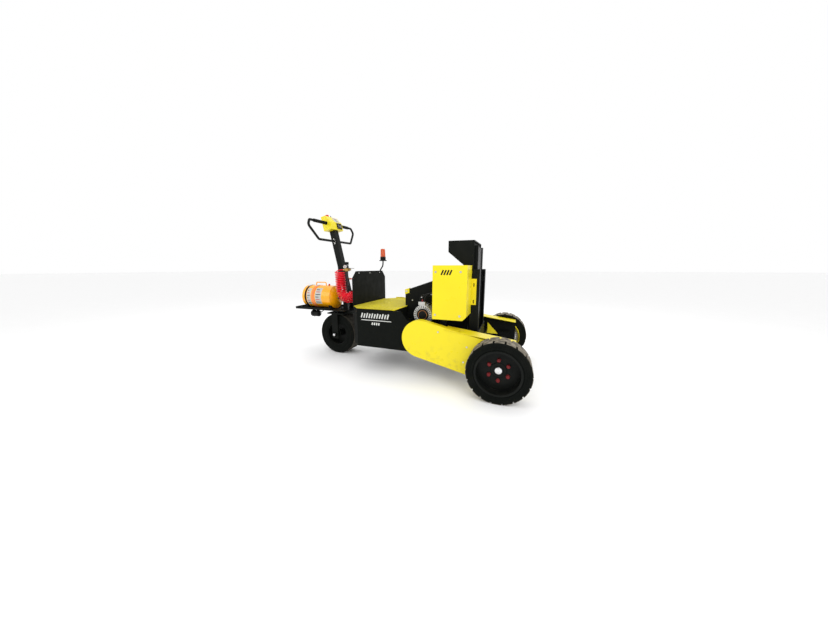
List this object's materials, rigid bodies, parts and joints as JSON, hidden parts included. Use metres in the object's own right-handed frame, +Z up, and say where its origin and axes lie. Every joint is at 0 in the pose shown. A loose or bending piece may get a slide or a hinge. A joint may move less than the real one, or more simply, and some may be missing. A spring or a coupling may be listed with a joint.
{
  "type": "trailer mover",
  "caption": "Battery-electric ride-on trailer mover: tiller-steered rear wheel, chain-driven front wheels, lift mast with table, standing deck and air tank.",
  "frame": {"origin": "on the ground, in the middle of the machine's length and width", "axes": "+X along the machine towards the drive wheels, +Y across it, +Z up"},
  "size_m": [2.9334, 1.55, 1.7838],
  "materials": {
    "yellow_paint": "gloss",
    "deck_yellow": "gritty anti-slip",
    "black_paint": "satin powder coat",
    "dark_steel": "machined",
    "bright_steel": "zinc plated",
    "chrome": "polished",
    "cast_iron": "painted casting",
    "aluminium": "cast, finned",
    "tyre": "matt, dusty tread",
    "orange_paint": "gloss",
    "strap": "woven",
    "brass": "machined",
    "red_hose": "smooth nylon",
    "black_plastic": "moulded",
    "red_plastic": "moulded",
    "amber_lens": "ribbed",
    "black_rubber": "dipped"
  },
  "bodies": {
    "chassis": {"battery_box": "black_paint", "batteries": "black_plastic", "side_frames": "black_paint", "cross_members": "black_paint", "neck": "black_paint", "chain_cases": "yellow_paint", "guard_plates": "yellow_paint", "chains": "dark_steel", "transaxle": "cast_iron", "drive_motor": "aluminium", "hydraulic_unit": "black_plastic", "centre_cover": "black_paint", "cover_latch": "yellow_paint", "control_box": "yellow_paint", "control_lid": "yellow_paint", "controller": "aluminium", "mast_bracket": "yellow_paint", "mast_columns": "black_paint", "lift_cylinder": "black_paint", "back_panel": "black_paint", "beacon_stalk": "black_paint", "beacon_lens": "amber_lens", "frame_bolts": "bright_steel", "axle_bearings": "dark_steel"},
    "hatch": {"battery_hatch": "deck_yellow"},
    "lift": {"lift_mast": "black_paint", "lift_table": "black_paint", "lift_rod": "chrome"},
    "left_wheel": {"left_tyre": "tyre", "left_rim": "black_paint", "left_hub": "dark_steel", "left_wheel_sprocket": "bright_steel"},
    "right_wheel": {"right_tyre": "tyre", "right_rim": "black_paint", "right_hub": "dark_steel", "right_wheel_sprocket": "bright_steel"},
    "left_drive": {"left_drive_sprocket": "bright_steel"},
    "right_drive": {"right_drive_sprocket": "bright_steel"},
    "steering": {"fork": "black_paint", "tray": "black_paint", "air_tank": "orange_paint", "tank_straps": "strap", "air_manifold": "brass", "coil_hose": "red_hose", "hose_leads": "red_hose", "tiller_base": "black_paint"},
    "steer_wheel": {"steer_tyre": "tyre", "steer_rim": "black_paint"},
    "tiller": {"tiller_tube": "black_paint", "tiller_head": "yellow_paint", "handle": "black_rubber", "keypad": "black_plastic"},
    "left_twist_grip": {"left_grip": "black_rubber"},
    "right_twist_grip": {"right_grip": "black_rubber"},
    "stop_switch": {"stop_button": "red_plastic"},
    "key_switch": {"key": "bright_steel"},
    "up_switch": {"up_button": "black_plastic"},
    "down_switch": {"down_button": "black_plastic"},
    "pressure_knob": {"regulator_knob": "black_plastic"},
    "air_valve": {"valve_lever": "red_plastic"}
  },
  "joints": [
    {"name": "lift_slide", "type": "slide", "parent": "chassis", "child": "lift", "axis": [0, 0, 1], "range_m": [0, 0.3]},
    {"name": "hatch_hinge", "type": "hinge", "parent": "chassis", "child": "hatch", "pos_m": [0, 0.5, 0.701], "axis": [-1, 0, 0], "range_deg": [0, 60]},
    {"name": "left_wheel_spin", "type": "hinge", "parent": "chassis", "child": "left_wheel", "pos_m": [1.2, 0, 0.2667], "axis": [0, 1, 0], "continuous": true},
    {"name": "right_wheel_spin", "type": "hinge", "parent": "chassis", "child": "right_wheel", "pos_m": [1.2, 0, 0.2667], "axis": [0, 1, 0], "continuous": true},
    {"name": "left_drive_spin", "type": "hinge", "parent": "chassis", "child": "left_drive", "pos_m": [0.454, 0, 0.437], "axis": [0, 1, 0], "continuous": true},
    {"name": "right_drive_spin", "type": "hinge", "parent": "chassis", "child": "right_drive", "pos_m": [0.454, 0, 0.437], "axis": [0, 1, 0], "continuous": true},
    {"name": "steering_turn", "type": "hinge", "parent": "chassis", "child": "steering", "pos_m": [-0.82, 0, 0.56], "axis": [0, 0, 1], "range_deg": [-75, 75]},
    {"name": "steer_wheel_spin", "type": "hinge", "parent": "steering", "child": "steer_wheel", "pos_m": [-0.86, 0, 0.262], "axis": [0, 1, 0], "continuous": true},
    {"name": "tiller_tilt", "type": "hinge", "parent": "steering", "child": "tiller", "pos_m": [-0.745, 0, 0.79], "axis": [0, 1, 0], "range_deg": [-10, 20]},
    {"name": "left_grip_twist", "type": "hinge", "parent": "tiller", "child": "left_twist_grip", "pos_m": [-0.94484, 0, 1.66958], "axis": [0, 1, 0], "range_deg": [-25, 25], "stiffness_Nm_per_rad": 1.5},
    {"name": "right_grip_twist", "type": "hinge", "parent": "tiller", "child": "right_twist_grip", "pos_m": [-0.94484, 0, 1.66958], "axis": [0, 1, 0], "range_deg": [-25, 25], "stiffness_Nm_per_rad": 1.5},
    {"name": "stop_press", "type": "slide", "parent": "tiller", "child": "stop_switch", "axis": [-0.2215, 0, 0.9751], "range_m": [-0.006, 0], "stiffness_N_per_m": 900},
    {"name": "key_turn", "type": "hinge", "parent": "tiller", "child": "key_switch", "pos_m": [-0.98915, 0.036, 1.75181], "axis": [-0.2215, 0, 0.9751], "range_deg": [0, 60]},
    {"name": "up_press", "type": "slide", "parent": "tiller", "child": "up_switch", "axis": [0.9751, 0, 0.2215], "range_m": [-0.003, 0], "stiffness_N_per_m": 400},
    {"name": "down_press", "type": "slide", "parent": "tiller", "child": "down_switch", "axis": [0.9751, 0, 0.2215], "range_m": [-0.003, 0], "stiffness_N_per_m": 400},
    {"name": "pressure_turn", "type": "hinge", "parent": "steering", "child": "pressure_knob", "pos_m": [-0.69, -0.08, 1.167], "axis": [0, 0, 1], "range_deg": [0, 270]},
    {"name": "valve_turn", "type": "hinge", "parent": "steering", "child": "air_valve", "pos_m": [-0.65, -0.08, 1.113], "axis": [0, 0, 1], "range_deg": [0, 90]}
  ],
  "couplings": [
    {"joint": "left_drive_spin", "follows": "left_wheel_spin", "ratio": 2.4},
    {"joint": "right_drive_spin", "follows": "right_wheel_spin", "ratio": 2.4},
    {"joint": "right_grip_twist", "follows": "left_grip_twist", "ratio": 1}
  ]
}
